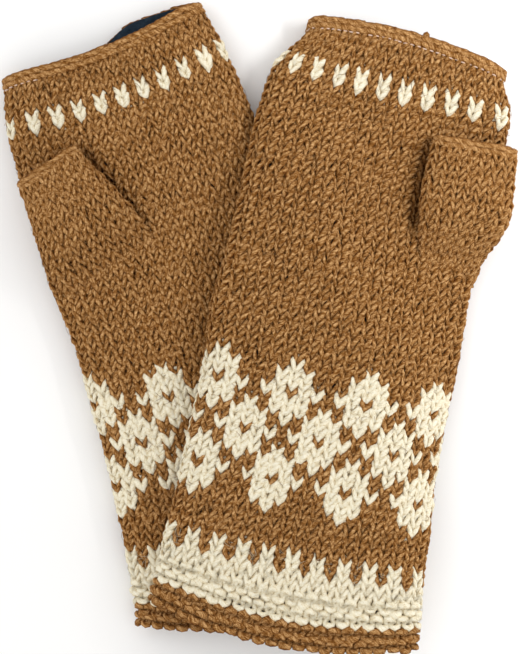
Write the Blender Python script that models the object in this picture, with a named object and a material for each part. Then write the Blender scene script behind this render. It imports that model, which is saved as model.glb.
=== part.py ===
"""A pair of hand-knitted, fleece-lined fingerless gloves, one lying across the other, palms up.

World frame: metres, +Z up. The gloves lie on z = 0 with their finger ends towards +Y, and the
origin is on the floor under the middle of the pair. The left glove lies flat; the right one lies
flat at its finger end and climbs over the left one towards the wrist.

Each glove is a flattened tube: a garter hem, a garter cuff, the hand and a bound-off finger edge
in wool, a fleece tube inside them, and a thumb sleeve that lies on the palm and turns about the
thumb hole. Lengths along a glove are measured from its hem.
"""

import math

import bmesh
import bpy
import numpy as np

MM = 0.001
GAP = 0.3 * MM

# Through one glove lying flat, and its layers as depths below the outside of the knitting.
THICKNESS = 15.0 * MM
SOLE_FLAT = 0.35 * MM
KNIT_DEPTHS = (0.0, 2.4 * MM)
BETWEEN_DEPTHS = (2.8 * MM, 3.3 * MM)
LINING_DEPTHS = (3.7 * MM, 4.7 * MM)
EDGE_SEAM_DEPTHS = (0.1 * MM, 0.9 * MM)
FOLD_SHARPNESS = 5.0

# Bands of the tube, as distances from the hem.
HEM_TOP = 5.5 * MM
CUFF_TOP = 25.5 * MM
HAND_TOP = 199.9 * MM
EDGE_SEAM_SPAN = (200.2 * MM, 201.0 * MM)
FINGER_EDGE = 201.3 * MM
LENGTH = 205.0 * MM
DIAMOND_BAND = (40.0 * MM, 100.0 * MM)
V_ROW_BAND = (188.0 * MM, 196.0 * MM)
LINING_SPAN = (3.0 * MM, 203.0 * MM)
WRIST_SEAM_SPAN = (4.0 * MM, 4.8 * MM)

# The thumb sleeve.
THUMB_THICKNESS = 11.5 * MM
THUMB_WALL = 2.2 * MM
THUMB_LIFT = 0.45 * MM
THUMB_EDGE = 3.2 * MM
THUMB_FOLD_SHARPNESS = 3.0
THUMB_HOLE_RADIUS = 8.0 * MM

# How far the rows bow towards the hem in the middle of the glove, away from the hem itself, and
# how soon the hem's own deeper bow fades.
ROW_BOW = 1.5 * MM
HEM_BOW_RUN = 14.0 * MM

# The right glove's climb over the left one, along its own length and across the left one's edge.
CLIMB = THICKNESS + 0.4 * MM
CLIMB_FOOT = 214.0 * MM
CLIMB_HEAD = 138.0 * MM
CLIMB_RUN = 46.0 * MM
CLIMB_REST = 2.0 * MM

# Every tube has its rings at these distances from the hem (mm), so that its layers stay apart
# where they bend.
RINGS = (40, 60, 80, 100, 120, 140, 155, 170, 188, 196)
AROUND = 28

WOOL_BROWN = (0.392, 0.195, 0.066)
WOOL_CREAM = (0.831, 0.779, 0.610)
FLEECE_NAVY = (0.004, 0.009, 0.018)
THREAD_PINK = (0.600, 0.420, 0.330)


class Glove:
    """The driving sizes of one glove. Stations are pairs of distance from the hem and a value."""

    def __init__(self, name, hem, bend, top, hem_bow, tilts, widths, thumb):
        self.name = name
        self.ends = [np.array(point) * MM for point in (hem, bend, top)]
        self.hem_bow = hem_bow * MM
        self.tilts = tilts
        self.widths = widths
        self.thumb = thumb
        steps = np.linspace(0.0, 1.0, 201)[:, None]
        first, middle, last = self.ends
        line = (1 - steps) ** 2 * first + 2 * steps * (1 - steps) * middle + steps**2 * last
        run = np.concatenate([[0.0], np.cumsum(np.linalg.norm(np.diff(line, axis=0), axis=1))])
        self.line = line
        self.run = run * LENGTH / run[-1]

    def centre(self, along):
        """The point of the centre line at a distance from the hem."""
        return np.array([np.interp(along, self.run, self.line[:, axis]) for axis in range(2)])

    def across(self, along):
        """The unit vector along a row of knitting, towards +X."""
        tilt = math.radians(smooth(self.tilts, along))
        return np.array([math.cos(tilt), math.sin(tilt)])

    def half_width(self, along):
        return smooth(self.widths, along) * MM / 2

    def bow(self, along):
        return ROW_BOW + (self.hem_bow - ROW_BOW) * math.exp(-((along / HEM_BOW_RUN) ** 2))


def smooth(stations, along):
    """A value read from stations (mm, value), eased between neighbours."""
    places = [place * MM for place, _ in stations]
    values = [value for _, value in stations]
    last = len(places) - 2
    index = min(max(int(np.searchsorted(places, along)) - 1, 0), last)
    part = (along - places[index]) / (places[index + 1] - places[index])
    part = min(max(part, 0.0), 1.0)
    slopes = np.gradient(values, places)
    step = places[index + 1] - places[index]
    return (
        (1 + 2 * part) * (1 - part) ** 2 * values[index]
        + part * (1 - part) ** 2 * step * slopes[index]
        + part**2 * (3 - 2 * part) * values[index + 1]
        - part**2 * (1 - part) * step * slopes[index + 1]
    )


LEFT = Glove(
    "left",
    hem=(2.5, -100.5),
    bend=(-5.0, -29.5),
    top=(-55.8, 99.8),
    hem_bow=4.0,
    tilts=((0, 4.0), (45, 6.5), (105, 12.0), (165, 19.0), (205, 21.5)),
    widths=((0, 93.0), (45, 92.0), (105, 90.0), (160, 84.0), (191, 80.0), (205, 74.5)),
    thumb={"root": (-54.5, 27.5), "tip": (-73.0, 55.0), "widths": (35.0, 26.0)},
)
RIGHT = Glove(
    "right",
    hem=(8.4, -102.7),
    bend=(25.0, -2.5),
    top=(48.3, 97.8),
    hem_bow=7.3,
    tilts=((0, -10.6), (55, -11.7), (115, -12.0), (165, -14.5), (205, -14.5)),
    widths=((0, 96.0), (30, 91.2), (75, 88.5), (110, 88.5), (160, 86.0), (191, 82.6), (205, 78.0)),
    thumb={"root": (69.0, 28.5), "tip": (75.0, 63.0), "widths": (31.0, 30.0)},
)


def ease(part):
    part = min(max(part, 0.0), 1.0)
    return part * part * (3 - 2 * part)


def left_edge_x(y):
    """Where the left glove's right-hand fold lies at this y."""
    places = np.linspace(0.0, LENGTH, 24)
    folds = [LEFT.centre(s) + LEFT.half_width(s) * LEFT.across(s) for s in places]
    folds = np.array(folds)
    return float(np.interp(y, folds[:, 1], folds[:, 0]))


def climb(x, y):
    """How high the right glove's underside is above the floor at this place."""
    along = y - RIGHT.ends[0][1]
    height = CLIMB * ease((CLIMB_FOOT - along) / (CLIMB_FOOT - CLIMB_HEAD))
    return height * ease((left_edge_x(y) - x + CLIMB_RUN) / CLIMB_RUN - CLIMB_REST / CLIMB_RUN)


def lens(angle, sharpness):
    """A flattened section of unit half width and unit half height: (across, up)."""
    across = math.sin(angle)
    up = math.sqrt(max(1 - abs(across) ** sharpness, 0.0))
    return across, math.copysign(up, math.cos(angle)) if up else 0.0


def tube_section(glove, along, depth):
    """One ring of points round a glove's tube, this far below the outside of its knitting."""
    centre = glove.centre(along)
    across = glove.across(along)
    forward = np.array([-across[1], across[0]])
    middle = THICKNESS / 2 - SOLE_FLAT
    ring = []
    for step in range(AROUND):
        side, up = lens(2 * math.pi * step / AROUND, FOLD_SHARPNESS)
        flat = centre + across * side * (glove.half_width(along) - depth)
        flat = flat - forward * glove.bow(along) * (1 - side * side)
        z = max(middle + up * (THICKNESS / 2 - depth), 0.0)
        if glove is RIGHT:
            z += climb(*flat)
        ring.append((flat[0], flat[1], z))
    return ring


def thumb_section(glove, along, inset, floor_inset):
    """One ring round a thumb sleeve. along runs from minus 1 at the rounded root to 1 at the tip."""
    root, tip = (np.array(glove.thumb[end]) * MM for end in ("root", "tip"))
    wide, narrow = (width * MM / 2 for width in glove.thumb["widths"])
    axis = (tip - root) / np.linalg.norm(tip - root)
    sideways = np.array([axis[1], -axis[0]])
    floor = THICKNESS - SOLE_FLAT + THUMB_LIFT
    middle = floor + THUMB_THICKNESS / 2
    if along < 0:
        angle = -along * math.pi / 2
        place = root - axis * (wide - inset) * 0.9 * math.sin(angle)
        half = (wide - inset) * math.cos(angle)
        height = (THUMB_THICKNESS / 2 - inset) * math.cos(angle) ** 0.5
    else:
        place = root + (tip - root) * along
        half = wide + (narrow - wide) * along - inset
        height = THUMB_THICKNESS / 2 - inset
    ring = []
    for step in range(AROUND - 4):
        side, up = lens(2 * math.pi * step / (AROUND - 4), THUMB_FOLD_SHARPNESS)
        flat = place + sideways * side * half
        ring.append((flat[0], flat[1], max(middle + up * height, floor + floor_inset)))
    return ring


def new_object(name, bm, collection, material):
    bmesh.ops.recalc_face_normals(bm, faces=bm.faces)
    mesh = bpy.data.meshes.new(name)
    bm.to_mesh(mesh)
    bm.free()
    mesh.materials.append(material)
    mesh.shade_smooth()
    mesh.set_sharp_from_angle(angle=math.radians(40))
    part = bpy.data.objects.new(name, mesh)
    collection.objects.link(part)
    return part


def skin(bm, rings):
    """Joins neighbouring rings of points with quads and returns the rings' vertices."""
    verts = [[bm.verts.new(point) for point in ring] for ring in rings]
    for lower, upper in zip(verts, verts[1:]):
        bridge(bm, lower, upper)
    return verts


def bridge(bm, lower, upper):
    count = len(lower)
    for index in range(count):
        after = (index + 1) % count
        bm.faces.new((lower[index], lower[after], upper[after], upper[index]))


def tube(name, glove, span, depths, collection, material):
    """An open tube between two depths of a glove's wall, from span[0] to span[1] along it."""
    bm = bmesh.new()
    rings = [ring * MM for ring in RINGS if span[0] < ring * MM < span[1]]
    places = [span[0], *rings, span[1]]
    outside, inside = (
        skin(bm, [tube_section(glove, along, depth) for along in places]) for depth in depths
    )
    bridge(bm, outside[0], inside[0])
    bridge(bm, outside[-1], inside[-1])
    return new_object(f"{glove.name}_{name}", bm, collection, material)


def thumb_sleeve(glove, collection, material):
    """The knitted thumb: a sleeve open at the tip, with a rounded root."""
    bm = bmesh.new()
    length = math.dist(glove.thumb["root"], glove.thumb["tip"]) * MM
    top = 1 - (THUMB_EDGE + GAP) / length
    places = [-0.95, -0.75, -0.5, -0.25, 0.0, top / 2, top]
    shells = []
    for inset in (0.0, THUMB_WALL):
        shell = skin(bm, [thumb_section(glove, along, inset, inset) for along in places])
        bm.faces.new(shell[0])
        shells.append(shell)
    bridge(bm, shells[0][-1], shells[1][-1])
    return new_object(f"{glove.name}_thumb_sleeve", bm, collection, material)


def thumb_edge(glove, collection, material):
    """The bound-off ring round the thumb's tip."""
    bm = bmesh.new()
    length = math.dist(glove.thumb["root"], glove.thumb["tip"]) * MM
    places = [1 - THUMB_EDGE / length, 1.0]
    shells = [
        skin(bm, [thumb_section(glove, along, inset, inset) for along in places])
        for inset in (0.0, THUMB_WALL)
    ]
    bridge(bm, shells[0][0], shells[1][0])
    bridge(bm, shells[0][1], shells[1][1])
    return new_object(f"{glove.name}_thumb_edge", bm, collection, material)


def thumb_hole_cutter(glove, collection):
    """A short drum through the palm's upper walls and the sleeve's floor, on the thumb's axis."""
    low = THICKNESS - LINING_DEPTHS[1] - 3.4 * MM
    high = THICKNESS + THUMB_LIFT + THUMB_WALL + 1.2 * MM
    bm = bmesh.new()
    bmesh.ops.create_cone(
        bm,
        cap_ends=True,
        segments=24,
        radius1=THUMB_HOLE_RADIUS,
        radius2=THUMB_HOLE_RADIUS,
        depth=high - low,
    )
    cutter = new_object(f"{glove.name}_thumb_hole_cutter", bm, collection, None)
    x, y = (value * MM for value in glove.thumb["root"])
    cutter.location = (x, y, (low + high) / 2)
    cutter.display_type = "WIRE"
    cutter.hide_render = True
    return cutter


def cut(part, cutter):
    modifier = part.modifiers.new("thumb hole", "BOOLEAN")
    modifier.operation = "DIFFERENCE"
    modifier.object = cutter


def wool(name, colour, roughness):
    material = bpy.data.materials.new(name)
    material.use_nodes = True
    shader = material.node_tree.nodes["Principled BSDF"]
    shader.inputs["Base Color"].default_value = (*colour, 1)
    shader.inputs["Roughness"].default_value = roughness
    shader.inputs["Metallic"].default_value = 0.0
    return material


def turn_about_thumb_hole(glove, parts, collection):
    """Parents the thumb's pieces to an empty on the axis that the thumb turns about."""
    pivot = bpy.data.objects.new(f"{glove.name}_thumb_pivot", None)
    x, y = (value * MM for value in glove.thumb["root"])
    pivot.location = (x, y, THICKNESS)
    collection.objects.link(pivot)
    for part in parts:
        part.parent = pivot
        part.matrix_parent_inverse.translation = (-x, -y, -THICKNESS)


def build_glove(glove, parts, cutters):
    def band(name, span, depths, colour, roughness=0.95):
        material = wool(f"{glove.name}_{name}", colour, roughness)
        return tube(name, glove, span, depths, parts, material)

    band("garter_hem", (0.0, HEM_TOP), KNIT_DEPTHS, WOOL_BROWN)
    band("garter_cuff", (HEM_TOP + GAP, CUFF_TOP), KNIT_DEPTHS, WOOL_CREAM)
    hand = band("hand_knit", (CUFF_TOP + GAP, HAND_TOP), KNIT_DEPTHS, WOOL_BROWN)
    band("finger_edge", (FINGER_EDGE, LENGTH), KNIT_DEPTHS, WOOL_BROWN)
    band("diamond_yarn", DIAMOND_BAND, BETWEEN_DEPTHS, WOOL_CREAM)
    band("v_row_yarn", V_ROW_BAND, BETWEEN_DEPTHS, WOOL_CREAM)
    lining = band("fleece_lining", LINING_SPAN, LINING_DEPTHS, FLEECE_NAVY)
    band("finger_edge_thread", EDGE_SEAM_SPAN, EDGE_SEAM_DEPTHS, THREAD_PINK, 0.6)
    band("wrist_thread", WRIST_SEAM_SPAN, BETWEEN_DEPTHS, THREAD_PINK, 0.6)
    sleeve = thumb_sleeve(glove, parts, wool(f"{glove.name}_thumb", WOOL_BROWN, 0.95))
    edge = thumb_edge(glove, parts, wool(f"{glove.name}_thumb_rim", WOOL_BROWN, 0.95))
    cutter = thumb_hole_cutter(glove, cutters)
    for part in (hand, lining, sleeve):
        cut(part, cutter)
    turn_about_thumb_hole(glove, (sleeve, edge), parts)


def main():
    for leftover in list(bpy.data.objects):
        bpy.data.objects.remove(leftover, do_unlink=True)
    parts = bpy.data.collections.new("fingerless_gloves")
    cutters = bpy.data.collections.new("cutters")
    for collection in (parts, cutters):
        bpy.context.scene.collection.children.link(collection)
    for glove in (LEFT, RIGHT):
        build_glove(glove, parts, cutters)


main()
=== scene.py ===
"""The looks of a pair of hand-knitted, fleece-lined fingerless gloves, built stitch by stitch.

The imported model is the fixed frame. Each glove's outer surface is worked out again from its driving
sizes, and yarn is laid on it in stocking stitch, garter stitch and a bound-off chain. Each round of
stitches is a strand of its own that rises and dips as a knitted yarn does, without linking the rounds.
Places on a glove are given as wales (stitch columns, 0 up the middle of the palm and counted towards
+X), and as a distance from the hem.
"""

import math

import bpy
import numpy as np
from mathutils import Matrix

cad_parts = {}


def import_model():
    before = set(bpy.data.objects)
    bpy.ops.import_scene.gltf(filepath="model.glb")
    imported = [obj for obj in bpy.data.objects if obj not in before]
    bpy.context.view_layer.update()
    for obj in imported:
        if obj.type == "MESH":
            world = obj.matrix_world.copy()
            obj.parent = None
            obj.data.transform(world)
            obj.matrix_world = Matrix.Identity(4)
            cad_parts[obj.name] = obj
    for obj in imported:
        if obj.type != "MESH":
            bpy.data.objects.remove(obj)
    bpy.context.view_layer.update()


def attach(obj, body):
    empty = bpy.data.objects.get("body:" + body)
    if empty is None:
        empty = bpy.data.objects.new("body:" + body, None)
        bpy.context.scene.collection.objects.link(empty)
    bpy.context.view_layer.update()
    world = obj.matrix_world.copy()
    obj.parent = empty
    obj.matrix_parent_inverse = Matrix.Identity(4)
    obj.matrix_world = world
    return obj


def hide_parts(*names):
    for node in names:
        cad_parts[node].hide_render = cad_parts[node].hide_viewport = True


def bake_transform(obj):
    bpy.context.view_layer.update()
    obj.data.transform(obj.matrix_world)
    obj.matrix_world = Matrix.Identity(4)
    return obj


MM = 0.001
TURN = 2 * math.pi

# The gloves' driving sizes, as the frame has them.
THICKNESS = 15.0 * MM
SOLE_FLAT = 0.35 * MM
LENGTH = 205.0 * MM
ROW_BOW = 1.5 * MM
HEM_BOW_RUN = 14.0 * MM
FOLD_SHARPNESS = 5.0
CLIMB = THICKNESS + 0.4 * MM
CLIMB_FOOT = 214.0 * MM
CLIMB_HEAD = 138.0 * MM
CLIMB_RUN = 46.0 * MM
CLIMB_REST = 2.0 * MM

THUMB_THICKNESS = 11.5 * MM
THUMB_FLOOR = 15.1 * MM
THUMB_FOLD_SHARPNESS = 3.0
LINING_SPAN = (3.0 * MM, 203.0 * MM)
LINING_DEPTH = 4.2 * MM
# The size each sleeve of fleece is taken to be cut to: the round of the knitting, by its length.
# How far past its span each sleeve of fleece stands at the finger edge.
LINING_REACHES = {"left": 2.6 * MM, "right": 1.0 * MM}
LINING_ROUGHNESS = 0.16 * MM

# The finger edge and the sewn seams, by distance from the hem.
EDGE_ROW = 201.4 * MM
EDGE_ROW_HEIGHT = 2.5 * MM
EDGE_CHAIN = 203.9 * MM
EDGE_SEAM = 201.8 * MM
WRIST_SEAM = 4.4 * MM
WRIST_SEAM_DEPTH = 3.2 * MM
DASH_PITCH = 2.7 * MM
DASH_LENGTH = 1.9 * MM
THREAD_RADIUS = 0.27 * MM
# Where the end of the yarn stands up as a small loop on the right glove's finger edge.
KNOT = 0.05
KNOT_FOOT = 204.6 * MM
KNOT_HEIGHT = 2.2
KNOT_SPREAD = 0.009
# How the finger edge is bowed. The falls are at the -X end and the +X end.
RIGHT_CROWN = 2.9 * MM
RIGHT_FALLS = (1.6 * MM, 1.4 * MM)
RIGHT_BACK_DROP = 0.6 * MM
LEFT_SAG = 2.4 * MM
LEFT_BACK_RISE = 5.4 * MM
EDGE_START = 186 * MM
EDGE_RUN = 19 * MM
CORNER_DROP = 1.6 * MM
CORNER_SHARPNESS = 12
EDGE_RISE = 0.9 * MM

# The cloth's slow unevenness: how many waves go round, and how long each is along, in mm.
WAVES = ((2, 61), (3, 37), (5, 29), (7, 17), (4, 13))
WAVE_SIZE = 0.22 * MM
WAVES_UP = 0.6

# The knitting.
WALES = 42
WALE = 4.4 * MM
ROW = 3.1 * MM
YARN = 0.90 * MM
YARN_DEPTH = 1.5 * MM
PLY_PITCH = 6.5 * MM
PLY_LOBE = 0.10
SEGMENTS = 12
SIDES = 7
# How unevenly it is knitted: in wales, along, outwards, and in the plumpness of the yarn.
UNEVEN_WALE = 0.065
UNEVEN_RISE = 0.22 * MM
UNEVEN_FRONT = 0.16 * MM
UNEVEN_PLUMP = 0.12
# The cream yarn is a little plumper than the brown and stands a little prouder.
CREAM_YARN = YARN * 1.12
CREAM_OUT = 0.15 * MM
# Garter ridges, each with how far above it the round between ridges lies, in mm.
CUFF_RIDGES = ((13.3, 2.1), (9.1, 2.1))
HEM_RIDGES = ((4.9, 1.4), (1.2, 1.9))
PURL_YARN = 1.28 * MM
PURL_HEIGHT = 1.5 * MM
BETWEEN_YARN = 1.0 * MM
CHAIN_YARN = 1.28 * MM
HAND_FIBRES = 5000
CUFF_FIBRES = 900

# The thumb sleeves: where the foot starts, and how it rises out of the palm.
THUMB_FOOT = -11 * MM
THUMB_RISE_RUN = 25 * MM
THUMB_SINK = 2.0 * MM
THUMB_YARN_DEPTH = 1.3 * MM

# Linear colours, dark to bright. The wool's dark end is reached mostly through the painted shade on
# the yarn's flanks, the fleece's through the painted shade between its pills.
CAMEL = ((0.055, 0.009, 0.001), (0.245, 0.098, 0.018), (0.690, 0.410, 0.180))
CREAM = ((0.560, 0.420, 0.220), (0.850, 0.775, 0.580), (0.930, 0.880, 0.730))
NAVY = ((0.0015, 0.005, 0.011), (0.006, 0.024, 0.048))
THREAD = ((0.50, 0.33, 0.24), (0.80, 0.62, 0.50))

# The studio: each light's name, place, size and power, and the camera straight above.
LIGHTS = (
    ("key", (0.46, 0.16, 0.54), 0.27, 10.8),
    ("fill", (-0.9, 0.5, 1.2), 1.0, 11.0),
)
CAMERA_HEIGHT = 1.5
FOCUS_HEIGHT = 0.012
PICTURE_HEIGHT = 0.2289
FLOOR_DROP = 0.0005

RANDOM = np.random.default_rng(7)


def ease(part):
    part = np.clip(part, 0.0, 1.0)
    return part * part * (3 - 2 * part)


def smooth(stations, along):
    """A value read from stations (mm, value), eased between neighbours."""
    places = np.array([place * MM for place, _ in stations])
    values = np.array([value for _, value in stations], float)
    index = np.clip(np.searchsorted(places, along) - 1, 0, len(places) - 2)
    step = places[index + 1] - places[index]
    part = np.clip((along - places[index]) / step, 0.0, 1.0)
    slopes = np.gradient(values, places)
    return (
        (1 + 2 * part) * (1 - part) ** 2 * values[index]
        + part * (1 - part) ** 2 * step * slopes[index]
        + part**2 * (3 - 2 * part) * values[index + 1]
        - part**2 * (1 - part) * step * slopes[index + 1]
    )


def unit(vectors):
    return vectors / np.maximum(np.linalg.norm(vectors, axis=-1, keepdims=True), 1e-12)


class Glove:
    """One glove's centre line, row tilts and widths. Stations are (mm from the hem, value)."""

    def __init__(self, name, hem, bend, top, hem_bow, tilts, widths, drifts, leans, biases):
        self.name = name
        first, middle, last = (np.array(point) * MM for point in (hem, bend, top))
        self.hem_y = first[1]
        self.hem_bow = hem_bow * MM
        self.tilts = tilts
        self.widths = widths
        self.drifts = drifts
        self.leans = leans
        self.biases = biases
        steps = np.linspace(0.0, 1.0, 201)[:, None]
        self.line = (1 - steps) ** 2 * first + 2 * steps * (1 - steps) * middle + steps**2 * last
        lengths = np.linalg.norm(np.diff(self.line, axis=0), axis=1)
        run = np.concatenate([[0.0], np.cumsum(lengths)])
        self.run = run * LENGTH / run[-1]

    def centre(self, along):
        inside = np.clip(along, 0.0, LENGTH)
        point = np.stack([np.interp(inside, self.run, self.line[:, k]) for k in range(2)], -1)
        onward = unit(self.line[-1] - self.line[-2])
        return point + (along - inside)[..., None] * onward

    def across(self, along):
        tilt = np.radians(smooth(self.tilts, along))
        return np.stack([np.cos(tilt), np.sin(tilt)], -1)

    def half_width(self, along):
        return smooth(self.widths, along) * MM / 2

    def bow(self, along):
        return ROW_BOW + (self.hem_bow - ROW_BOW) * np.exp(-((along / HEM_BOW_RUN) ** 2))

    def point(self, angle, along, depth):
        """A point of the tube. The angle is 0 on the palm's middle and a quarter turn at +X."""
        side = np.sin(angle)
        up = np.sqrt(np.maximum(1 - np.abs(side) ** FOLD_SHARPNESS, 0.0)) * np.sign(np.cos(angle))
        across = self.across(along)
        forward = np.stack([-across[..., 1], across[..., 0]], -1)
        flat = self.centre(along) + across * (side * (self.half_width(along) - depth))[..., None]
        flat = flat - forward * (self.bow(along) * (1 - side * side))[..., None]
        z = THICKNESS / 2 - SOLE_FLAT + up * (THICKNESS / 2 - depth)
        if self.name == "right":
            z = z + climb(flat[..., 0], flat[..., 1])
        return np.concatenate([flat, z[..., None]], -1)


LEFT = Glove(
    "left",
    hem=(2.5, -100.5),
    bend=(-5.0, -29.5),
    top=(-55.8, 99.8),
    hem_bow=4.0,
    tilts=((0, 4.0), (45, 6.5), (105, 12.0), (165, 19.0), (205, 21.5)),
    widths=((0, 93.0), (45, 92.0), (105, 90.0), (160, 84.0), (191, 80.0), (205, 74.5)),
    drifts=((0, 0.0), (100, 0.0), (205, 0.1)),
    leans=((0, 0.0), (205, 0.0)),
    biases=((0, 0.0), (100, -0.08), (205, 0.10)),
)
RIGHT = Glove(
    "right",
    hem=(8.4, -102.7),
    bend=(25.0, -2.5),
    top=(48.3, 97.8),
    hem_bow=7.3,
    tilts=((0, -10.6), (55, -11.3), (84, -10.2), (115, -11.6), (165, -14.5), (205, -14.5)),
    widths=((0, 96.0), (30, 91.2), (75, 88.5), (110, 88.5), (160, 86.0), (191, 82.6), (205, 78.0)),
    drifts=((0, -0.15), (66, -0.15), (190, -0.5), (205, -0.5)),
    leans=((0, 0.02), (100, 0.04), (205, 0.05)),
    biases=((0, 0.05), (90, 0.12), (150, 0.30), (180, 0.20), (205, 0.15)),
)


def left_edge():
    """The left glove's right-hand fold, as (x, y) points."""
    places = np.linspace(0.0, LENGTH, 24)
    return LEFT.centre(places) + LEFT.half_width(places)[:, None] * LEFT.across(places)


LEFT_EDGE = left_edge()


def climb(x, y):
    """How high the right glove's underside is above the floor at this place."""
    edge = np.interp(y, LEFT_EDGE[:, 1], LEFT_EDGE[:, 0])
    along = y - RIGHT.hem_y
    height = CLIMB * ease((CLIMB_FOOT - along) / (CLIMB_FOOT - CLIMB_HEAD))
    return height * ease((edge - x + CLIMB_RUN - CLIMB_REST) / CLIMB_RUN)


class Fabric:
    """A tube of cloth that yarn is laid on: points on an even grid, round it and along it."""

    def __init__(self, along, points):
        self.along = along
        self.points = points
        round_it = np.roll(points[:, :-1], -1, 1) - np.roll(points[:, :-1], 1, 1)
        normals = np.cross(round_it, np.gradient(points, axis=0)[:, :-1])
        self.normals = unit(np.concatenate([normals, normals[:, :1]], 1))

    def place(self, turn, along, out):
        """Points at a share of a turn (0 on the palm's middle) and a distance along."""
        count = self.points.shape[1] - 1
        column = np.mod(turn + 0.5, 1.0) * count
        row = (along - self.along[0]) / (self.along[1] - self.along[0])
        row = np.clip(row, 0.0, len(self.along) - 1.001)
        i, j = row.astype(int), np.minimum(column.astype(int), count - 1)
        a, b = (row - i)[:, None], (column - j)[:, None]
        point, normal = (
            grid[i, j] * (1 - a) * (1 - b)
            + grid[i + 1, j] * a * (1 - b)
            + grid[i, j + 1] * (1 - a) * b
            + grid[i + 1, j + 1] * a * b
            for grid in (self.points, self.normals)
        )
        normal = unit(normal)
        return point + normal * out[:, None], normal


def even_rings(points, columns):
    """Rings of points, spaced evenly round each ring with its middle point kept at a half turn.

    A point's first three values are its place. Any others are carried along with it.
    """
    steps = np.linalg.norm(np.diff(points[..., :3], axis=1), axis=2)
    run = np.concatenate([np.zeros((len(points), 1)), np.cumsum(steps, 1)], 1)
    middle = run[:, points.shape[1] // 2]
    even = np.empty((len(points), columns + 1, points.shape[2]))
    for ring in range(len(points)):
        share = (run[ring] - middle[ring]) / run[ring, -1]
        shares = np.linspace(share[0], share[-1], columns + 1)
        for axis in range(points.shape[2]):
            even[ring, :, axis] = np.interp(shares, share, points[ring, :, axis])
    return even


def rim_lift(glove, angle, along):
    """How the finger edge is bowed: the right one crowned, the left one's front sagging."""
    side = np.sin(angle)
    behind = np.cos(angle) < 0
    crown = 1 - side * side
    if glove.name == "right":
        front = RIGHT_CROWN * crown - RIGHT_FALLS[1] * ease(side) - RIGHT_FALLS[0] * ease(-side)
        lift = np.where(behind, front - RIGHT_BACK_DROP, front)
        return lift * ease((along - 188 * MM) / (18 * MM))
    back = LEFT_BACK_RISE * ease((side + 0.12) / 0.55) - LEFT_SAG
    return np.where(behind, back, -LEFT_SAG) * crown * ease((along - 160 * MM) / (45 * MM))


# How far the corner of the finger edge on the -X side is drawn in.
CORNER_TUCKS = {"left": 1.0 * MM, "right": 6.5 * MM}
# The crease in the palm beside each thumb sleeve, from near its edge to its root.
THUMB_CREASES = {"left": ((-61.5, 61.0), (-42.0, 36.0)), "right": ((59.8, 64.0), (54.8, 36.0))}
CREASE_WIDTH = 2.0 * MM
CREASE_DEPTH = 3.6 * MM
# How far one fold of each glove stands out past its even width: its side, then (mm, mm).
FOLD_SWELLS = {
    "left": (-1, ((0, 0.0), (90, 0.0), (95, 0.0), (118, 1.9), (190, 1.9), (205, 0.5))),
    "right": (1, ((0, 0.0), (164, 0.0), (168, 0.0), (182, 2.4), (194, 3.4), (205, 0.8))),
}


def glove_points(glove, places, depth, columns):
    """An even grid of points on a glove's tube, settled as the cloth lies."""
    angle = np.linspace(-math.pi, math.pi, 1441)
    angles, along = np.meshgrid(angle, places)
    plain = np.concatenate([glove.point(angles, along, depth), angles[..., None]], -1)
    grid = even_rings(plain, columns)
    points, angle = grid[..., :3], grid[..., 3]
    along = along[:, : columns + 1]
    across = glove.across(along)
    forward = np.stack([-across[..., 1], across[..., 0]], -1)
    points[..., :2] += forward * rim_lift(glove, angle, along)[..., None]
    side = np.sin(angle)
    near_edge = ease((along - EDGE_START) / EDGE_RUN)
    corner = CORNER_DROP * np.abs(side) ** CORNER_SHARPNESS * near_edge - EDGE_RISE * near_edge
    points[..., :2] -= forward * corner[..., None]
    tuck = CORNER_TUCKS[glove.name] * near_edge * np.maximum(-side, 0.0) ** 4
    points[..., :2] += across * tuck[..., None]
    swollen, stations = FOLD_SWELLS[glove.name]
    swell = smooth(stations, along) * MM * np.maximum(side * swollen, 0.0) ** 3
    points[..., :2] += across * (swell * swollen)[..., None]
    points[..., 2] -= crease(glove, points[..., :2]) * (np.cos(angle) > 0)
    bulge = waves(glove, angle, along)
    points[..., :2] += across * (bulge * side)[..., None]
    points[..., 2] += WAVES_UP * bulge * np.maximum(np.cos(angle), 0.0)
    return points


def crease(glove, places):
    """How deep the crease beside the thumb sleeve is at each place on the palm."""
    start, end = (np.array(place) * MM for place in THUMB_CREASES[glove.name])
    share = np.sum((places - start) * (end - start), -1) / np.sum((end - start) ** 2)
    nearest = start + np.clip(share, 0.0, 1.0)[..., None] * (end - start)
    away = np.linalg.norm(places - nearest, axis=-1) / CREASE_WIDTH
    return CREASE_DEPTH * np.exp(-(away**2))


def waves(glove, angle, along):
    """A slow unevenness of the cloth, in and out, the same for every layer of a glove."""
    seed = 1.7 if glove.name == "left" else 0.0
    total = np.zeros(np.shape(angle))
    for number, (turns, length) in enumerate(WAVES):
        phase = seed + 2.3 * number
        total += np.sin(turns * angle + phase + TURN * along / (length * MM)) * 0.5**number
        total += np.sin(turns * angle - 2 * phase - TURN * along / (length * 1.3 * MM)) * 0.5**number
    return total * WAVE_SIZE


def hand_fabric(glove, depth):
    """The middle of a glove's knitting, a little longer than the glove at both ends."""
    along = np.linspace(-12 * MM, LENGTH + 12 * MM, 240)
    return Fabric(along, glove_points(glove, along, depth, 420))


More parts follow.
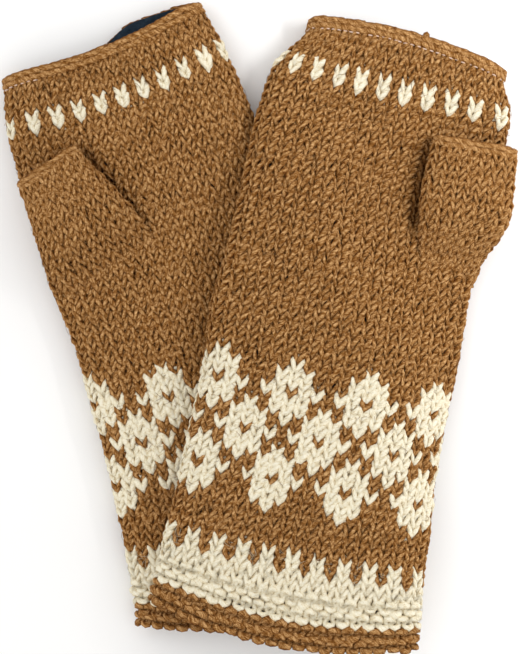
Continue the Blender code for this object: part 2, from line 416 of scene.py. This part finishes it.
def palm_height(glove, x, y, depth):
    """The height of the palm at each place, and of the fold where a place is beyond it."""
    along = np.full(np.shape(x), 130 * MM)
    for _ in range(6):
        offset = np.stack([x, y], -1) - glove.centre(along)
        across = glove.across(along)
        side = np.sum(offset * across, -1) / glove.half_width(along)
        ahead = offset[..., 1] * across[..., 0] - offset[..., 0] * across[..., 1]
        along = np.clip(along + ahead + glove.bow(along) * (1 - side * side), 0.0, LENGTH)
    up = np.sqrt(np.maximum(1 - np.abs(side) ** FOLD_SHARPNESS, 0.0))
    z = THICKNESS / 2 - SOLE_FLAT + up * (THICKNESS / 2 - depth)
    return z + climb(x, y) if glove.name == "right" else z


class Thumb:
    """A thumb sleeve's axis, how far it reaches to each side of it, and its stitches."""

    def __init__(self, glove, root, tip, lefts, rights, wales, rows):
        self.glove = glove
        self.root, self.tip = (np.array(point) * MM for point in (root, tip))
        self.length = float(np.linalg.norm(self.tip - self.root))
        self.forward = (self.tip - self.root) / self.length
        self.across = np.array([self.forward[1], -self.forward[0]])
        self.lefts = lefts
        self.rights = rights
        self.wales = wales
        self.rows = rows

    def points(self, angle, along, depth):
        """The sleeve rises out of the palm: low at its foot, a full tube further on."""
        side = np.sin(angle)
        sharpness = THUMB_FOLD_SHARPNESS
        up = np.sqrt(np.maximum(1 - np.abs(side) ** sharpness, 0.0)) * np.sign(np.cos(angle))
        reach = np.where(side < 0, smooth(self.lefts, along), smooth(self.rights, along)) * MM
        across = side * (reach - depth)
        flat = self.root + along[..., None] * self.forward + across[..., None] * self.across
        rise = ease((along - THUMB_FOOT) / THUMB_RISE_RUN)
        tube = THUMB_FLOOR + THUMB_THICKNESS / 2 + up * (THUMB_THICKNESS / 2 - depth)
        palm = palm_height(self.glove, flat[..., 0], flat[..., 1], YARN_DEPTH + 0.6 * MM)
        sunk = THUMB_SINK * ease((-5 * MM - along) / (7 * MM))
        z = palm * (1 - rise) + tube * rise - sunk
        return np.concatenate([flat, z[..., None]], -1)

    def sweeps_over(self, path):
        """Whether a fibre stands where the swinging sleeve would brush it."""
        reach = np.linalg.norm(path[:, :2] - self.root, axis=1)
        return np.any((reach < self.length + 14 * MM) & (path[:, 2] > THUMB_FLOOR - 1.6 * MM))

    def fabric(self, depth):
        along = np.linspace(-16 * MM, self.length + 6 * MM, 90)
        angle = np.linspace(-math.pi, math.pi, 721)
        angles, places = np.meshgrid(angle, along)
        return Fabric(along, even_rings(self.points(angles, places, depth), 180))


THUMBS = (
    Thumb(
        LEFT,
        root=(-54.5, 27.5),
        tip=(-73.0, 55.0),
        lefts=((-16, 21.0), (1, 21.4), (16, 17.2), (32, 13.2), (42, 12.5)),
        rights=((-16, 18.0), (-2, 17.8), (15, 15.2), (33, 12.3), (42, 12.0)),
        wales=18,
        rows=11,
    ),
    Thumb(
        RIGHT,
        root=(69.0, 28.5),
        tip=(75.0, 62.2),
        lefts=((-16, 12.0), (0, 14.2), (14, 15.9), (28, 15.6), (42, 15.0)),
        rights=((-16, 9.0), (-4, 10.6), (2, 13.2), (9, 16.0), (22, 16.2), (35, 15.2), (42, 15.0)),
        wales=16,
        rows=12,
    ),
)


class Mesh:
    """Gathers the strands of one piece: vertices, faces, and each point's place in its yarn."""

    def __init__(self):
        self.verts, self.quads, self.caps, self.yarns = [], [], [], []
        self.count = 0

    def sweep(self, path, normal, wide, thick, closed, sides=SIDES, lobe=PLY_LOBE):
        """A yarn along a path, its section turning as its two plies twist round each other."""
        if closed:
            tangent = np.roll(path, -1, 0) - np.roll(path, 1, 0)
        else:
            tangent = np.gradient(path, axis=0)
        tangent = unit(tangent)
        side = unit(np.cross(tangent, normal))
        up = np.cross(side, tangent)
        steps = np.linalg.norm(np.diff(path, axis=0), axis=1)
        run = np.concatenate([[0.0], np.cumsum(steps)]) + RANDOM.random() * PLY_PITCH
        theta = np.arange(sides) * TURN / sides - TURN / 4
        turned = theta[None, :] + TURN * run[:, None] / PLY_PITCH
        swell = 1 + lobe * np.cos(2 * turned)
        ring = (
            path[:, None]
            + side[:, None] * (wide[:, None] * swell * np.cos(theta))[..., None]
            + up[:, None] * (thick[:, None] * swell * np.sin(theta))[..., None]
        )
        rings = len(path)
        index = self.count + np.arange(rings * sides).reshape(rings, sides)
        first = index if closed else index[:-1]
        second = np.roll(index, -1, 0) if closed else index[1:]
        quads = np.stack([first, np.roll(first, -1, 1), np.roll(second, -1, 1), second], -1)
        self.verts.append(ring.reshape(-1, 3))
        self.quads.append(quads.reshape(-1, 4))
        if not closed:
            self.caps += [index[0][::-1], index[-1]]
        ball = np.full(rings * sides, RANDOM.random())
        self.yarns.append(np.stack([np.repeat(run, sides), np.tile(theta, rings), ball], -1))
        self.count += rings * sides

    def make(self, name, material):
        """The piece itself, kept from dipping under the surface the gloves lie on."""
        verts = np.concatenate(self.verts)
        verts[:, 2] = np.maximum(verts[:, 2], 0.0)
        quads = np.concatenate(self.quads)
        loops = np.concatenate([quads.ravel(), *self.caps])
        sizes = np.concatenate([np.full(len(quads), 4), [len(cap) for cap in self.caps]])
        sizes = sizes.astype(np.int32)
        mesh = bpy.data.meshes.new(name)
        mesh.vertices.add(len(verts))
        mesh.vertices.foreach_set("co", verts.astype(np.float32).ravel())
        mesh.loops.add(len(loops))
        mesh.loops.foreach_set("vertex_index", loops.astype(np.int32))
        mesh.polygons.add(len(sizes))
        starts = np.concatenate([[0], np.cumsum(sizes)[:-1]]).astype(np.int32)
        mesh.polygons.foreach_set("loop_start", starts)
        mesh.polygons.foreach_set("loop_total", sizes)
        attribute = mesh.attributes.new("yarn", "FLOAT_VECTOR", "POINT")
        places = np.concatenate(self.yarns).astype(np.float32)
        attribute.data.foreach_set("vector", places.ravel())
        mesh.update(calc_edges=True)
        mesh.validate()
        mesh.shade_smooth()
        mesh.materials.append(material)
        piece = bpy.data.objects.new(name, mesh)
        bpy.context.scene.collection.objects.link(piece)
        return piece


def wobble(count, amount, closed):
    """One random value for each stitch of a row; a round ends on the value it began with."""
    knots = RANDOM.normal(0.0, amount, count + 1)
    if closed:
        knots[-1] = knots[0]
    return knots


EVEN = ((0, 0.0), (205, 0.0))


class Knitting:
    """Lays rows of stitches on a fabric: how many wales go round it, how they lean and drift."""

    def __init__(self, fabric, wales, wale, drifts=EVEN, leans=EVEN, biases=EVEN):
        self.fabric = fabric
        self.wales = wales
        self.wale = wale
        self.drifts = drifts
        self.leans = leans
        self.biases = biases

    def row(
        self, mesh, first, count, along, purl=False, height=ROW, yarn=YARN, out=0.0, relief=0.75
    ):
        """Stitches on neighbouring wales, laid as the yarn runs: foot, leg, head, leg."""
        closed = count == self.wales
        t = np.arange(count * SEGMENTS + (0 if closed else 1)) / SEGMENTS
        angle = TURN * t
        legs = (1 - np.cos(2 * angle)) / 2
        bias = np.where(np.sin(angle) < 0, 1.0, -1.0) * legs
        lean = smooth(self.leans, np.array([along]))[0]
        drift = smooth(self.drifts, np.array([along]))[0]
        bias = bias * smooth(self.biases, np.array([along]))[0]
        knots = np.arange(count + 1)
        rise = -1.02 * height * np.cos(angle)
        sway = (0.21 if purl else 0.30) * np.sin(2 * angle)
        front = relief * MM * np.cos(2 * angle) * (1 if purl else -1)
        wale = first - 0.5 + t + sway + lean * rise / self.wale + drift
        wale = wale + np.interp(t, knots, wobble(count, UNEVEN_WALE, closed))
        rise = rise + np.interp(t, knots, wobble(count, UNEVEN_RISE, closed))
        front = front + out + np.interp(t, knots, wobble(count, UNEVEN_FRONT, closed))
        front = front + bias * 0.9 * MM
        plump = 1 + np.interp(t, knots, wobble(count, UNEVEN_PLUMP, closed)) + bias * 0.35
        path, normal = self.fabric.place(wale / self.wales, along + rise, front)
        swell = 1.06 - 0.20 * legs if purl else 0.84 + 0.22 * legs
        wide = yarn * swell * plump
        mesh.sweep(path, normal, wide, wide * 0.9, closed)

    def colour(self, mesh, flags, along, **options):
        """The stitches of one colour in a round, from flags for each wale from the back's middle."""
        half = self.wales // 2
        if flags.all():
            self.row(mesh, -half, self.wales, along, **options)
            return
        for start in np.flatnonzero(flags & ~np.roll(flags, 1)):
            length = 1
            while flags[(start + length) % self.wales]:
                length += 1
            self.row(mesh, start - half, length, along, **options)

    def whole(self, mesh, along, **options):
        """A whole round in one colour, joined at the middle of the back."""
        self.row(mesh, -(self.wales // 2), self.wales, along, **options)

    def chain(self, mesh, along, out, spread=1.3, yarn=CHAIN_YARN, length=2.5):
        """A bound-off edge: sideways Vs, each one growing out of the one before it."""
        q = np.linspace(0.0, 1.0, 9)
        for link in range(self.wales):
            for lane in (-1, 1):
                start = link + RANDOM.normal(0.0, 0.05)
                turn = (start + length * q) / self.wales
                wide = spread * MM * (0.10 + 1.1 * q**0.9) * lane
                place = along + wide + RANDOM.normal(0.0, 0.10) * MM
                front = out + 1.5 * MM * np.sin(math.pi * (0.05 + 0.85 * q)) - 0.7 * MM
                path, normal = self.fabric.place(turn, place, front)
                full = yarn * (0.55 + 0.45 * np.sin(math.pi * (0.1 + 0.8 * q)))
                mesh.sweep(path, normal, full, full * 0.9, False)

    def dashes(self, mesh, along, out, spots, length=DASH_LENGTH, thick=THREAD_RADIUS):
        """A line of machine stitches: short dashes of thread, each dipping in at its ends."""
        q = np.linspace(-0.5, 0.5, 7)
        for spot in spots:
            turn = spot + q * length / (self.wales * self.wale)
            place = np.full(7, along + RANDOM.normal(0.0, 0.10) * MM)
            path, normal = self.fabric.place(turn, place, out - 3.2 * MM * q**4 * 4)
            radius = np.full(7, thick)
            mesh.sweep(path, normal, radius, radius, False, sides=5, lobe=0.0)


# The colour chart of one diamond, top row first, with a brown stitch in its heart.
DIAMOND = ("..X..", ".XXX.", ".XXX.", "XX.XX", ".XXX.", ".XXX.", "..X..")
DIAMOND_REPEAT = 6
FIRST_ROW = 28.3 * MM
ROWS = {"left": 56, "right": 57}
BANDS = 3
DIAMOND_HEARTS = ((7, 3), (12, 0), (17, 3))
V_ROWS = {"left": (51, 52), "right": (52, 53)}
CHART_SHIFTS = {"left": -1, "right": 0}


def cream_flags(glove, row):
    """Which wales of a row of the hand are cream, counted from the back's middle."""
    wales = np.arange(WALES) - WALES // 2
    flags = np.zeros(WALES, bool)
    for heart, shift in DIAMOND_HEARTS:
        up = row - heart
        if abs(up) <= len(DIAMOND) // 2:
            for column, mark in enumerate(DIAMOND[len(DIAMOND) // 2 - up]):
                away = wales - shift - CHART_SHIFTS[glove.name] - (column - 2)
                flags |= (away % DIAMOND_REPEAT == 0) & (mark == "X")
    if row in V_ROWS[glove.name]:
        flags |= wales % 2 == 0
    return flags


def dress(piece, node, body):
    """Hides the node a piece stands for and attaches the piece to the body it moves with."""
    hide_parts(node)
    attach(piece, body)


def build_hand(glove, knitting, camel, cream):
    """The hand's rounds, the brown ones in bands of a manageable size and the cream ones apart."""
    name, body = glove.name, f"{glove.name}_glove"
    diamonds, vees = Mesh(), Mesh()
    for number, band in enumerate(np.array_split(np.arange(ROWS[name]), BANDS)):
        brown = Mesh()
        for row in band:
            along = FIRST_ROW + row * ROW
            flags = cream_flags(glove, row)
            knitting.colour(brown, ~flags, along)
            if flags.any():
                motif = vees if row in V_ROWS[name] else diamonds
                knitting.colour(motif, flags, along, yarn=CREAM_YARN, out=CREAM_OUT)
        if number == 0:
            for row in (1, 2):
                odd = np.arange(WALES) % 2 == (WALES // 2 + 1) % 2
                knitting.colour(brown, odd, FIRST_ROW - row * ROW)
        piece = brown.make(f"{name}_hand_wool_{number + 1}", camel)
        dress(piece, f"{name}_hand_knit", body)
    for mesh, node in ((diamonds, "diamond_yarn"), (vees, "v_row_yarn")):
        piece = mesh.make(f"{name}_{node}_stitches", cream)
        dress(piece, f"{name}_{node}", body)


def build_cuff(glove, knitting, camel, cream):
    """Cream teeth and two plain rounds, then garter ridges, two of them cream and two brown."""
    name, body = glove.name, f"{glove.name}_glove"
    cuff, hem = Mesh(), Mesh()
    even = np.arange(WALES) % 2 == (WALES // 2) % 2
    for row in (1, 2):
        knitting.colour(cuff, even, FIRST_ROW - row * ROW, yarn=CREAM_YARN, out=CREAM_OUT)
    for row in (3, 4):
        knitting.whole(cuff, FIRST_ROW - row * ROW, yarn=YARN * 1.05)
    for mesh, ridges in ((cuff, CUFF_RIDGES), (hem, HEM_RIDGES)):
        for ridge, rise in ridges:
            ridge, rise = ridge * MM, rise * MM
            knitting.whole(mesh, ridge, purl=True, height=PURL_HEIGHT, yarn=PURL_YARN, out=0.1 * MM)
            between = {"height": 0.9 * rise, "yarn": BETWEEN_YARN, "out": -0.7 * MM, "relief": 0.3}
            knitting.whole(mesh, ridge + rise, **between)
    dress(cuff.make(f"{name}_garter_cuff_stitches", cream), f"{name}_garter_cuff", body)
    dress(hem.make(f"{name}_garter_hem_stitches", camel), f"{name}_garter_hem", body)


def build_finger_edge(glove, knitting, camel, thread):
    """The rolled, bound-off edge, and the machine stitches that hold the lining under it."""
    name, body = glove.name, f"{glove.name}_glove"
    edge, seam = Mesh(), Mesh()
    top = (ROWS[name] - ROWS["left"]) * ROW
    knitting.whole(edge, EDGE_ROW + top, height=EDGE_ROW_HEIGHT, out=-0.2 * MM)
    knitting.chain(edge, EDGE_CHAIN + top, 0.1 * MM)
    if name == "right":
        q = np.linspace(0.0, 1.0, 9)
        arch = np.sin(math.pi * q) * MM
        along = KNOT_FOOT + top + KNOT_HEIGHT * arch
        path, normal = knitting.fabric.place(KNOT + KNOT_SPREAD * q, along, arch)
        edge.sweep(path, normal, np.full(9, YARN), np.full(9, YARN), False)
    piece = edge.make(f"{name}_finger_edge_chain", camel)
    dress(piece, f"{name}_finger_edge", body)
    spots = np.arange(0.0, 1.0, DASH_PITCH / (WALES * WALE))
    shown = spots if name == "right" else spots[(spots > 0.25) & (spots < 0.84)]
    knitting.dashes(seam, EDGE_SEAM + top, 1.25 * MM, shown)
    piece = seam.make(f"{name}_finger_edge_seam", thread)
    dress(piece, f"{name}_finger_edge_thread", body)
    wrist = Mesh()
    knitting.dashes(wrist, WRIST_SEAM, YARN_DEPTH - WRIST_SEAM_DEPTH, spots)
    piece = wrist.make(f"{name}_wrist_seam", thread)
    dress(piece, f"{name}_wrist_thread", body)


def build_lining(glove, fleece):
    """The fleece sleeve, an open tube of one layer with a brushed, uneven surface."""
    name = glove.name
    rings, around = 200, 220
    start, stop = LINING_SPAN[0], LINING_SPAN[1] + LINING_REACHES[name]
    along = np.linspace(start, stop, rings)
    points = glove_points(glove, along, LINING_DEPTH, around)[:, :-1]
    rough = RANDOM.normal(0.0, LINING_ROUGHNESS, (rings, around))
    points[..., 2] += rough + np.roll(rough, 1, 0) + np.roll(rough, 1, 1)
    index = np.arange(rings * around).reshape(rings, around)
    first, second = index[:-1], index[1:]
    quads = np.stack([first, np.roll(first, -1, 1), np.roll(second, -1, 1), second], -1)
    mesh = bpy.data.meshes.new(f"{name}_fleece_sleeve")
    mesh.from_pydata(points.reshape(-1, 3).tolist(), [], quads.reshape(-1, 4).tolist())
    mesh.shade_smooth()
    mesh.materials.append(fleece)
    piece = bpy.data.objects.new(mesh.name, mesh)
    bpy.context.scene.collection.objects.link(piece)
    dress(piece, f"{name}_fleece_lining", f"{name}_glove")


def build_thumb(thumb, camel):
    """The thumb sleeve's rounds and its bound-off edge, which moves with the thumb."""
    name = thumb.glove.name
    glove_body, thumb_body = f"{name}_glove", f"{name}_thumb"
    fabric = thumb.fabric(THUMB_YARN_DEPTH)
    tip_width = (thumb.lefts[-1][1] + thumb.rights[-1][1]) * MM
    wale = 2 * (tip_width + THUMB_THICKNESS * 0.6) / thumb.wales
    knitting = Knitting(fabric, thumb.wales, wale)
    sleeve, edge = Mesh(), Mesh()
    row_height = (thumb.length - 2.2 * MM - THUMB_FOOT) / (thumb.rows + 2)
    for row in range(thumb.rows + 3):
        knitting.whole(sleeve, THUMB_FOOT + row * row_height, height=row_height)
    knitting.chain(edge, thumb.length + 0.3 * MM, -0.6 * MM, spread=1.15, yarn=1.18 * MM)
    piece = sleeve.make(f"{name}_thumb_sleeve_stitches", camel)
    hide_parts(f"{name}_thumb_sleeve")
    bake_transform(piece)
    piece = edge.make(f"{name}_thumb_edge_chain", camel)
    dress(piece, f"{name}_thumb_edge", thumb_body)


def build_fibres(name, body, fabric, span, count, material):
    """Loose fibres standing off the wool: short curved hairs, thin as the yarn's own."""
    hairs = Mesh()
    first, last = span
    for _ in range(count):
        turn = RANDOM.uniform(-0.5, 0.5)
        along = RANDOM.uniform(first, last)
        heading = RANDOM.uniform(0, TURN)
        length = RANDOM.uniform(2.0, 5.0) * MM
        q = np.linspace(-0.5, 0.5, 5)
        bend = RANDOM.normal(0.0, 0.35) * length
        step_u = (q * length * math.cos(heading) - bend * q * q * math.sin(heading)) / (WALES * WALE)
        step_s = q * length * math.sin(heading) + bend * q * q * math.cos(heading)
        lift = RANDOM.uniform(0.9, 1.8) * MM - 4.0 * MM * q * q * RANDOM.uniform(0.1, 1.0)
        path, normal = fabric.place(turn + step_u, along + step_s, lift)
        if any(thumb.sweeps_over(path) for thumb in THUMBS):
            continue
        radius = np.array([0.3, 0.9, 1.0, 0.8, 0.2]) * RANDOM.uniform(0.05, 0.08) * MM
        hairs.sweep(path, normal, radius, radius, False, sides=3, lobe=0.0)
    piece = hairs.make(name, material)
    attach(piece, body)


def nodes_of(material):
    material.use_nodes = True
    tree = material.node_tree
    return tree, tree.nodes["Principled BSDF"]


def math_node(tree, operation, first, second=None, third=None):
    """A Math node whose inputs are sockets or plain numbers. Returns its output."""
    node = tree.nodes.new("ShaderNodeMath")
    node.operation = operation
    for socket, value in zip(node.inputs, (first, second, third)):
        if isinstance(value, bpy.types.NodeSocket):
            tree.links.new(value, socket)
        elif value is not None:
            socket.default_value = value
    return node.outputs[0]


def noise(tree, scale, detail):
    node = tree.nodes.new("ShaderNodeTexNoise")
    node.inputs["Scale"].default_value = scale
    node.inputs["Detail"].default_value = detail
    return node


def ramp_colour(tree, shader, shade, stops):
    """Colours the surface by a shade, through (position, colour) stops from first to last."""
    node = tree.nodes.new("ShaderNodeValToRGB")
    ramp = node.color_ramp
    first, *between, last = stops
    for element, (position, colour) in zip(ramp.elements, (first, last)):
        element.position = position
        element.color = (*colour, 1)
    for position, colour in between:
        ramp.elements.new(position).color = (*colour, 1)
    tree.links.new(shade, node.inputs[0])
    tree.links.new(node.outputs[0], shader.inputs["Base Color"])


def bump(tree, shader, height, strength, distance):
    node = tree.nodes.new("ShaderNodeBump")
    node.inputs["Strength"].default_value = strength
    node.inputs["Distance"].default_value = distance
    tree.links.new(height, node.inputs["Height"])
    tree.links.new(node.outputs[0], shader.inputs["Normal"])


def material_wool(name, colours, sheen):
    """Two-ply wool: twisted plies and fibres along the yarn, with lighter and darker patches, painted
    shade in the grooves between the plies and painted shade on the yarn's flanks.
    """
    material = bpy.data.materials.new(name)
    tree, shader = nodes_of(material)
    shader.inputs["Roughness"].default_value = 0.85
    shader.inputs["Sheen Weight"].default_value = sheen
    shader.inputs["Sheen Roughness"].default_value = 0.5
    shader.inputs["Sheen Tint"].default_value = (*colours[2], 1)
    shader.inputs["Specular IOR Level"].default_value = 0.06
    yarn = tree.nodes.new("ShaderNodeAttribute")
    yarn.attribute_name = "yarn"
    parts = tree.nodes.new("ShaderNodeSeparateXYZ")
    tree.links.new(yarn.outputs["Vector"], parts.inputs[0])
    run, theta, ball = parts.outputs
    turned = math_node(tree, "MULTIPLY_ADD", run, TURN / PLY_PITCH, theta)
    ply = math_node(tree, "COSINE", math_node(tree, "MULTIPLY", turned, 2.0))
    place = tree.nodes.new("ShaderNodeCombineXYZ")
    tree.links.new(math_node(tree, "MULTIPLY", run, 420.0), place.inputs["X"])
    tree.links.new(math_node(tree, "MULTIPLY", turned, 3.2), place.inputs["Y"])
    tree.links.new(math_node(tree, "MULTIPLY", ball, 50.0), place.inputs["Z"])
    fibres = noise(tree, 1.7, 5.0)
    tree.links.new(place.outputs[0], fibres.inputs["Vector"])
    patches = noise(tree, 90.0, 3.0)
    shade = math_node(tree, "MULTIPLY", fibres.outputs["Fac"], 0.62)
    shade = math_node(tree, "MULTIPLY_ADD", patches.outputs["Fac"], 0.38, shade)
    # Painted shade: the ply wave lightens the crests of the plies and darkens the grooves between
    # them.
    shade = math_node(tree, "MULTIPLY_ADD", ply, 0.035, shade)
    # Painted shade: the yarn is darker on its flanks, where neighbouring strands would shade it, and
    # lighter on its top and underside.
    facing = math_node(tree, "ABSOLUTE", math_node(tree, "SINE", theta))
    painted_flank_shade = math_node(tree, "MULTIPLY_ADD", facing, 0.15, -0.110)
    shade = math_node(tree, "ADD", shade, painted_flank_shade)
    ramp_colour(tree, shader, shade, tuple(zip((0.36, 0.5, 0.66), colours)))
    height = math_node(tree, "MULTIPLY_ADD", ply, 0.30, fibres.outputs["Fac"])
    bump(tree, shader, height, 0.8, 0.4 * MM)
    return material


def material_fleece():
    """Brushed navy fleece: small soft pills, with painted shade between them."""
    material = bpy.data.materials.new("navy fleece")
    tree, shader = nodes_of(material)
    shader.inputs["Roughness"].default_value = 0.95
    shader.inputs["Sheen Weight"].default_value = 0.35
    shader.inputs["Sheen Roughness"].default_value = 0.6
    shader.inputs["Sheen Tint"].default_value = (0.10, 0.25, 0.42, 1)
    pills = noise(tree, 900.0, 4.0).outputs["Fac"]
    # Painted shade: the pills' height sets the colour as well as the bump, darker where it sinks
    # between them.
    ramp_colour(tree, shader, pills, tuple(zip((0.35, 0.7), NAVY)))
    bump(tree, shader, pills, 0.9, 0.6 * MM)
    return material


def material_thread():
    """Spun sewing thread, pinkish tan with a slight sheen."""
    material = bpy.data.materials.new("pink tan thread")
    tree, shader = nodes_of(material)
    shader.inputs["Roughness"].default_value = 0.5
    shader.inputs["Sheen Weight"].default_value = 0.3
    twist = noise(tree, 1500.0, 2.0).outputs["Fac"]
    ramp_colour(tree, shader, twist, tuple(zip((0.0, 1.0), THREAD)))
    return material


def camera_above():
    """A camera straight above, its picture as high as PICTURE_HEIGHT at the gloves."""
    data = bpy.data.cameras.new("camera")
    camera = bpy.data.objects.new("camera", data)
    bpy.context.scene.collection.objects.link(camera)
    camera.location = (0.0, 0.0, CAMERA_HEIGHT)
    data.sensor_fit = "VERTICAL"
    data.sensor_height = 24.0
    data.lens = data.sensor_height * (CAMERA_HEIGHT - FOCUS_HEIGHT) / PICTURE_HEIGHT
    bpy.context.scene.camera = camera


def light_and_floor():
    """A pale room, two soft lights aimed at the gloves, and a pale floor."""
    world = bpy.data.worlds.new("studio")
    bpy.context.scene.world = world
    world.use_nodes = True
    world.node_tree.nodes["Background"].inputs["Color"].default_value = (1.0, 0.992, 0.98, 1)
    world.node_tree.nodes["Background"].inputs["Strength"].default_value = 1.05
    for name, place, size, power in LIGHTS:
        data = bpy.data.lights.new(name, "AREA")
        data.size = size
        data.energy = power
        lamp = bpy.data.objects.new(name, data)
        lamp.location = place
        bpy.context.scene.collection.objects.link(lamp)
        direction = -np.array(place)
        lamp.rotation_euler = (
            math.atan2(math.hypot(direction[0], direction[1]), -direction[2]),
            0.0,
            math.atan2(direction[0], -direction[1]),
        )
    bpy.ops.mesh.primitive_plane_add(size=6.0, location=(0, 0, -FLOOR_DROP))
    floor = bpy.context.object
    floor.name = "floor"
    material = bpy.data.materials.new("floor")
    material.use_nodes = True
    shader = material.node_tree.nodes["Principled BSDF"]
    shader.inputs["Base Color"].default_value = (0.93, 0.93, 0.93, 1)
    shader.inputs["Roughness"].default_value = 0.9
    floor.data.materials.append(material)


def main():
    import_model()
    bpy.context.scene.view_settings.view_transform = "Standard"
    camera_above()
    light_and_floor()
    camel = material_wool("camel wool", CAMEL, 0.09)
    cream = material_wool("cream wool", CREAM, 0.08)
    fleece = material_fleece()
    thread = material_thread()
    for glove in (LEFT, RIGHT):
        fabric = hand_fabric(glove, YARN_DEPTH)
        knitting = Knitting(fabric, WALES, WALE, glove.drifts, glove.leans, glove.biases)
        build_hand(glove, knitting, camel, cream)
        build_cuff(glove, knitting, camel, cream)
        build_finger_edge(glove, knitting, camel, thread)
        build_lining(glove, fleece)
        name, body = glove.name, f"{glove.name}_glove"
        hand, cuff = (30 * MM, LENGTH), (9 * MM, 26 * MM)
        build_fibres(f"{name}_hand_fibres", body, fabric, hand, HAND_FIBRES, camel)
        build_fibres(f"{name}_cuff_fibres", body, fabric, cuff, CUFF_FIBRES, cream)
    for thumb in THUMBS:
        build_thumb(thumb, camel)


main()
